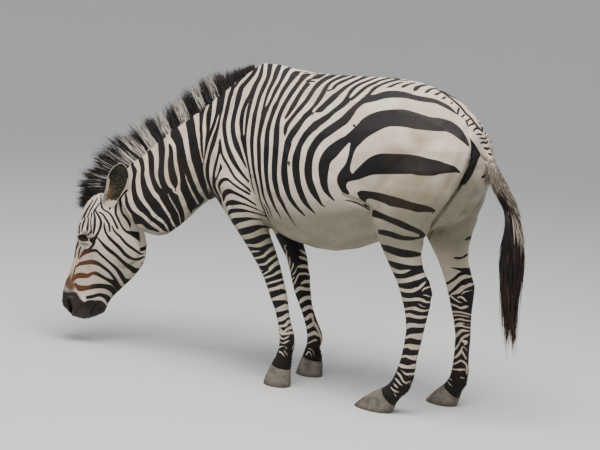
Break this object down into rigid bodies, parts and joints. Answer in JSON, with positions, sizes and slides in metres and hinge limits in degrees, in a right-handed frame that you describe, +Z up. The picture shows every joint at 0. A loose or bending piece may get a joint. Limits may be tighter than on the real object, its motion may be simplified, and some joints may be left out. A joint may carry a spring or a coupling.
{
  "type": "mountain zebra",
  "caption": "Life-size still model of a standing mountain zebra, head lowered to graze and turned a little to its left.",
  "frame": {"origin": "on the floor, below the middle of the animal's whole box", "axes": "+Z up, the nose towards -X, the animal's left side towards -Y"},
  "size_m": [2.1335, 0.5592, 1.3634],
  "materials": {
    "coat": "short flat coat, pale hair with near-black stripes",
    "muzzle_skin": "short dark velvet over bare skin",
    "mane_hair": "upright coarse hair, banded dark and pale",
    "tail_hair": "long coarse hair, near black with rusty tips",
    "eye": "wet dark eye",
    "hoof_horn": "dull horn with faint growth rings"
  },
  "bodies": {
    "root": {"head": "coat", "neck": "coat", "forequarters": "coat", "barrel": "coat", "hindquarters": "coat", "tail_dock": "coat", "ear_left": "coat", "ear_right": "coat", "forearm_left": "coat", "forearm_right": "coat", "fore_cannon_left": "coat", "fore_cannon_right": "coat", "gaskin_left": "coat", "gaskin_right": "coat", "hind_cannon_left": "coat", "hind_cannon_right": "coat", "muzzle": "muzzle_skin", "mane": "mane_hair", "tail_switch": "tail_hair", "eye_left": "eye", "eye_right": "eye", "fore_hoof_left": "hoof_horn", "fore_hoof_right": "hoof_horn", "hind_hoof_left": "hoof_horn", "hind_hoof_right": "hoof_horn"}
  },
  "joints": []
}
